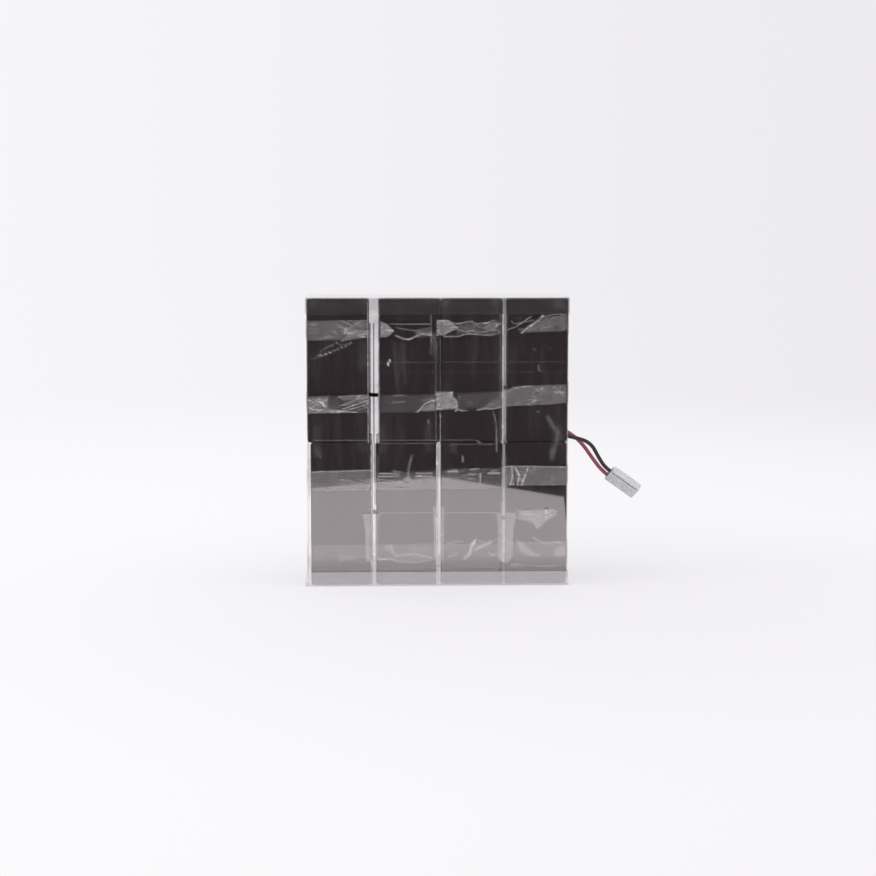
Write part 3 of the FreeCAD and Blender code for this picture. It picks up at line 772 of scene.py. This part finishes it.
# The leads come out through a notch in the sleeve's rear fold
def cutNotch(bm):
    reach = leadSet["diameter"] / 2 + leadSet["notchGap"]
    front = leadSet["black_lead"][0][1] - reach
    bottom = leadSet["black_lead"][0][2] - reach
    top = leadSet["red_lead"][0][2] + reach
    side = high.x - wrapSet["corner"] * 2
    cutAt(bm, (0, front, 0), (0, 1, 0))
    cutAt(bm, (side, 0, 0), (1, 0, 0))
    cutAt(bm, (0, 0, bottom), (0, 0, 1))
    cutAt(bm, (0, 0, top), (0, 0, 1))
    inside = []
    for face in bm.faces:
        x, y, z = face.calc_center_median()
        if x > side and y > front and bottom < z < top:
            inside.append(face)
    bmesh.ops.delete(bm, geom=inside, context="FACES")


# A new piece, made of what was built in bmesh
def makePiece(name, bm, finish):
    mesh = bpy.data.meshes.new(name)
    bm.to_mesh(mesh)
    bm.free()
    mesh.materials.append(finish)
    piece = bpy.data.objects.new(name, mesh)
    bpy.context.scene.collection.objects.link(piece)
    return piece


# How far an edge climbs
def climb(edge):
    return abs(edge.verts[0].co.z - edge.verts[1].co.z)


# A sheet that goes round the pack with soft folds at its corners, cut finely at the front
def wrapSheet(name, node, cell, finish):
    low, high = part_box(node)
    bm = bmesh.new()
    bmesh.ops.create_cube(bm, size=1.0)
    bmesh.ops.scale(bm, vec=high - low, verts=bm.verts)
    bmesh.ops.translate(bm, vec=(low + high) / 2, verts=bm.verts)
    ends = [face for face in bm.faces if abs(face.normal.z) > 0.5]
    bmesh.ops.delete(bm, geom=ends, context="FACES_ONLY")
    folds = [edge for edge in bm.edges if climb(edge) > 0.001]
    bmesh.ops.bevel(
        bm,
        geom=folds,
        offset=wrapSet["corner"],
        offset_type="OFFSET",
        segments=4,
        profile=0.5,
        affect="EDGES",
        material=-1,
    )
    for atLeast, onFront, step in ((0.2, True, cell), (0.05, False, wrapSet["sideCell"])):
        level = [edge for edge in bm.edges if climb(edge) < 1e-6 and edge.calc_length() > atLeast]
        picked = [edge for edge in level if edge.verts[0].co.y < 0 or not onFront]
        longest = max(edge.calc_length() for edge in picked)
        bmesh.ops.subdivide_edges(bm, edges=picked, cuts=int(longest / step), use_grid_fill=True)
    upright = [edge for edge in bm.edges if climb(edge) > 0.001]
    bmesh.ops.subdivide_edges(bm, edges=upright, cuts=int((high.z - low.z) / cell), use_grid_fill=True)

    marks = filmMarks[node]
    cutAlongCreases(bm, marks["creases"])
    cutAlongShades(bm, marks.get("shades", []))
    if node == "clear_sleeve":
        cutNotch(bm)
    patches, lines = readMarks(marks)
    shades = readPatches(marks.get("shades", []))
    backHaze = wrapSet["backHaze"][node == "clear_sleeve"]
    shadeLayer = bm.verts.layers.float.new("shade")
    hazeLayer = bm.verts.layers.float.new("haze")
    for vert in bm.verts:
        vert.co.z += riseAt(marks["rise"], vert.co.x * perMetre) / perMetre
        if vert.co.y < low.y + 0.0001:
            spot = Vector((vert.co.x, vert.co.z)) * perMetre
            vert[hazeLayer], lift = markAt(spot, patches, lines)
            vert[shadeLayer] = patchAt(spot, shades)
            vert.co.y -= lift * wrapSet["lift"] / perMetre
        else:
            vert[hazeLayer] = backHaze * max(0.0, noise.noise(vert.co * wrapSet["clouding"]) + 0.2)
    for face in bm.faces:
        face.smooth = True
    sheet = makePiece(name, bm, finish)
    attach(sheet, "root")
    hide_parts(node)
    return sheet


# Where the sheet laps itself, a second layer lies inside its back wall
def makeLap(finish):
    low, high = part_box("clear_sleeve")
    width = wrapSet["lapWidth"]
    inside, rim = wrapSet["lapHaze"]
    quarterTurn = Matrix.Rotation(math.radians(-90), 3, "X")
    bm = bmesh.new()
    bmesh.ops.create_grid(bm, x_segments=12, y_segments=60, size=0.5)
    bmesh.ops.scale(bm, vec=(width, high.z - low.z, 1.0), verts=bm.verts)
    bmesh.ops.rotate(bm, cent=(0, 0, 0), matrix=quarterTurn, verts=bm.verts)
    bmesh.ops.translate(bm, vec=(0, high.y - wrapSet["lapGap"], (low.z + high.z) / 2), verts=bm.verts)
    hazeLayer = bm.verts.layers.float.new("haze")
    for vert in bm.verts:
        cloud = inside + inside * noise.noise(vert.co * wrapSet["clouding"])
        vert[hazeLayer] = rim if abs(vert.co.x) > 0.49 * width else cloud
    lap = makePiece("sleeveLap", bm, finish)
    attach(lap, "root")


def makeWrap():
    tape = filmFinish("clearTape", *filmLook["tape"])
    sheet = filmFinish("clearSheet", *filmLook["sheet"])
    for place in ("top", "upper", "lower", "base"):
        name = place + "Tape"
        node = "tape_band_" + place
        wrapSheet(name, node, wrapSet["tapeCell"], tape)
    wrapSheet("sleeveSheet", "clear_sleeve", wrapSet["sleeveCell"], sheet)
    makeLap(sheet)


# The camera stands a little left of the pack and looks slightly down on it
cameraSet = {
    "distance": 2.1,
    "turn": -1.789,
    "pan": -0.054,
    "height": 0.38425,
    "pitch": 6.326,
    "lens": 80.573,
}


def makeCamera():
    turn = math.radians(cameraSet["turn"])
    heading = math.radians(cameraSet["turn"] + cameraSet["pan"])
    pitch = math.radians(90 - cameraSet["pitch"])
    data = bpy.data.cameras.new("studioCamera")
    data.lens = cameraSet["lens"]
    data.sensor_width = 36.0
    camera = bpy.data.objects.new("studioCamera", data)
    reach = cameraSet["distance"]
    camera.location = (reach * math.sin(turn), -reach * math.cos(turn), cameraSet["height"])
    camera.rotation_euler = (pitch, 0.0, heading)
    bpy.context.scene.collection.objects.link(camera)
    bpy.context.scene.camera = camera


# Free leads: the two routes from their exits to the plug
leadSet = {
    "diameter": 0.0042,
    "notchGap": 0.0018,
    "lengths": {"black_lead": 0.0783, "red_lead": 0.0804},
    "black_lead": [
        (0.13855, 0.04617, 0.14920),
        (0.15429, 0.04439, 0.14695),
        (0.17215, 0.04427, 0.14080),
        (0.18135, 0.04477, 0.12360),
        (0.18875, 0.04507, 0.11252),
        (0.19819, 0.04507, 0.10579),
    ],
    "red_lead": [
        (0.13855, 0.04817, 0.15700),
        (0.14987, 0.04902, 0.15109),
        (0.16335, 0.05057, 0.13920),
        (0.17455, 0.05017, 0.12300),
        (0.18572, 0.04944, 0.10828),
        (0.19517, 0.04944, 0.10154),
    ],
}


def makeLeads(looks):
    for node, color in (("black_lead", "black"), ("red_lead", "red")):
        points = leadSet[node]
        curve = bpy.data.curves.new(color + "Lead", "CURVE")
        curve.dimensions = "3D"
        spline = curve.splines.new("NURBS")
        spline.points.add(len(points) - 1)
        for point, place in zip(spline.points, points):
            point.co = (*place, 1.0)
        spline.order_u = 3
        spline.use_endpoint_u = True
        spline.resolution_u = 12
        curve.bevel_depth = leadSet["diameter"] / 2
        curve.bevel_resolution = 6
        curve.use_fill_caps = True
        curve.materials.append(looks[node + "_inner"])
        lead = bpy.data.objects.new(color + "Lead", curve)
        bpy.context.scene.collection.objects.link(lead)
        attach(lead, "root")
        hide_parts(node)


# The studio: a pale floor and backdrop with painted light falloff, lighter to the left and near the
# pack, and a white table that ends in front of the pack, which only reflections see and which glows as
# painted light
studioSet = {
    "leftPale": (0.935, 0.92, 0.945, 1.0),
    "rightPale": (0.845, 0.83, 0.855, 1.0),
    "nearPale": 0.6,
    "shadowShare": 0.4,
    "shadowReach": (0.12, 0.75),
    "shadowPlace": (0.14, -0.2),
    "floorColor": (0.86, 0.845, 0.87, 1.0),
    "floorEdge": (0.033, -0.940),
    "edgeSlopes": (-0.64, 1.36),
    "tableTint": (1.03, 0.985, 1.0),
    "footGlow": 1.3,
    "floorGlow": 1.7,
    "roomGlow": 0.008,
}


def rayKinds(finish):
    path = finish.node("ShaderNodeLightPath")
    return path["Is Camera Ray"], path["Is Glossy Ray"], path["Is Transmission Ray"]


def makeStage():
    finish = newFinish("paleFloor")
    x, y, z = finish.axes(finish.node("ShaderNodeNewGeometry")["Position"])
    edgeX, edgeY = studioSet["floorEdge"]
    leftSlope, rightSlope = studioSet["edgeSlopes"]
    left = y - ((x - edgeX) * leftSlope + edgeY)
    right = y - ((x - edgeX) * rightSlope + edgeY)
    table = left.least(right).ramp(-0.01, 0.01)
    camera, glossy = rayKinds(finish)[:2]
    lit = finish.node("ShaderNodeBsdfDiffuse", None, {"Color": studioSet["floorColor"]})[0]
    # painted light falloff: the plain floor is lighter to the left than to the right, and lighter near the
    # pack
    bearing = (x / (y + cameraSet["distance"]).size().most(0.5)).ramp(-0.3, 0.3)
    pale = finish.mix(bearing, studioSet["leftPale"], studioSet["rightPale"])
    away = (x * x + y * y) ** 0.5
    pale = finish.mix(away.ramp(2.5, 0.6, (0.0, studioSet["nearPale"])), pale, (1.0, 0.985, 1.0, 1.0))
    plain = finish.node("ShaderNodeEmission", None, {"Color": pale})[0]
    near, far = studioSet["shadowReach"]
    under = (x.size() - packWidth / 2).most(y.size() + frontY).ramp(0.0, 0.004, (1.0, 0.0))
    shadowX, shadowY = studioSet["shadowPlace"]
    spread = ((x - shadowX) * (x - shadowX) + (y - shadowY) * (y - shadowY)) ** 0.5
    shadow = spread.ramp(near, far, (studioSet["shadowShare"], 0.0)).most(under)
    seen = finish.mixShader((1.0 - camera).most(shadow), plain, lit)
    # painted light: for reflections the table glows brighter than white, and dimmer near the pack's foot as
    # painted shade
    front = (frontY - y).ramp(0.12, 0.2)
    warm = studioSet["tableTint"]
    tableGlow = finish.mix(front, grey(studioSet["footGlow"], warm), grey(studioSet["floorGlow"], warm))
    ahead = y < frontY
    glowColor = finish.mix(table * ahead, grey(studioSet["roomGlow"]), tableGlow)
    glowColor = finish.mix(y > frontY, glowColor, studioSet["rightPale"])
    glow = finish.node("ShaderNodeEmission", None, {"Color": glowColor})[0]
    floorMaterial = finish.end(finish.mixShader(glossy, seen, glow))

    bm = bmesh.new()
    bmesh.ops.create_grid(bm, x_segments=1, y_segments=1, size=8.0)
    floor = makePiece("studioFloor", bm, floorMaterial)


def makeWorld():
    world = bpy.data.worlds.new("studioRoom")
    bpy.context.scene.world = world
    finish = Finish(world)
    x, y, z = finish.axes(finish.node("ShaderNodeTexCoord")["Generated"])
    camera, glossy, through = rayKinds(finish)
    # painted light falloff: the backdrop is lighter to the left than to the right
    bearing = (x / y.size().most(0.05)).ramp(-0.3, 0.3)
    plain = finish.mix(bearing, studioSet["leftPale"], studioSet["rightPale"])
    bright = y.ramp(-0.05, 0.25).most(z.ramp(0.35, 0.6))
    mirrored = finish.mix(bright, grey(studioSet["roomGlow"]), studioSet["rightPale"])
    lighting = finish.mix(glossy, grey(0.5), mirrored)
    color = finish.mix(camera.most(through), lighting, plain)
    glow = finish.node("ShaderNodeBackground", None, {"Color": color})[0]
    finish.node("ShaderNodeOutputWorld", None, {"Surface": glow})


lampSet = {
    "overhead": {"place": (0.0, -0.2, 2.0), "aim": (0, 0, 0.1), "size": (2.2, 1.6), "power": 14.0},
    "frontBox": {"place": (0.3, -2.3, 0.5), "aim": (0, 0, 0.1), "size": (1.8, 0.8), "power": 13.0},
    "leftBox": {"place": (-1.9, -0.5, 1.0), "aim": (0, 0, 0.15), "size": (1.2, 1.4), "power": 10.0},
    "rightBox": {"place": (1.9, -0.5, 1.0), "aim": (0, 0, 0.15), "size": (1.2, 1.4), "power": 8.0},
}


def makeLamps():
    for name, lamp in lampSet.items():
        data = bpy.data.lights.new(name, "AREA")
        data.shape = "RECTANGLE"
        data.size, data.size_y = lamp["size"]
        data.energy = lamp["power"]
        made = bpy.data.objects.new(name, data)
        made.location = lamp["place"]
        aim = Vector(lamp["aim"]) - Vector(lamp["place"])
        made.rotation_euler = aim.to_track_quat("-Z", "Y").to_euler()
        made.visible_glossy = False
        bpy.context.scene.collection.objects.link(made)


makeCamera()
looks = dressNodes()
print("finishes on", len(nodes), "pieces")
makeWrap()
print("sleeve and tape wrapped")
makeLeads(looks)
print("leads made")
makeStage()
makeWorld()
makeLamps()
print("studio set")
bpy.context.scene.view_settings.view_transform = "Standard"
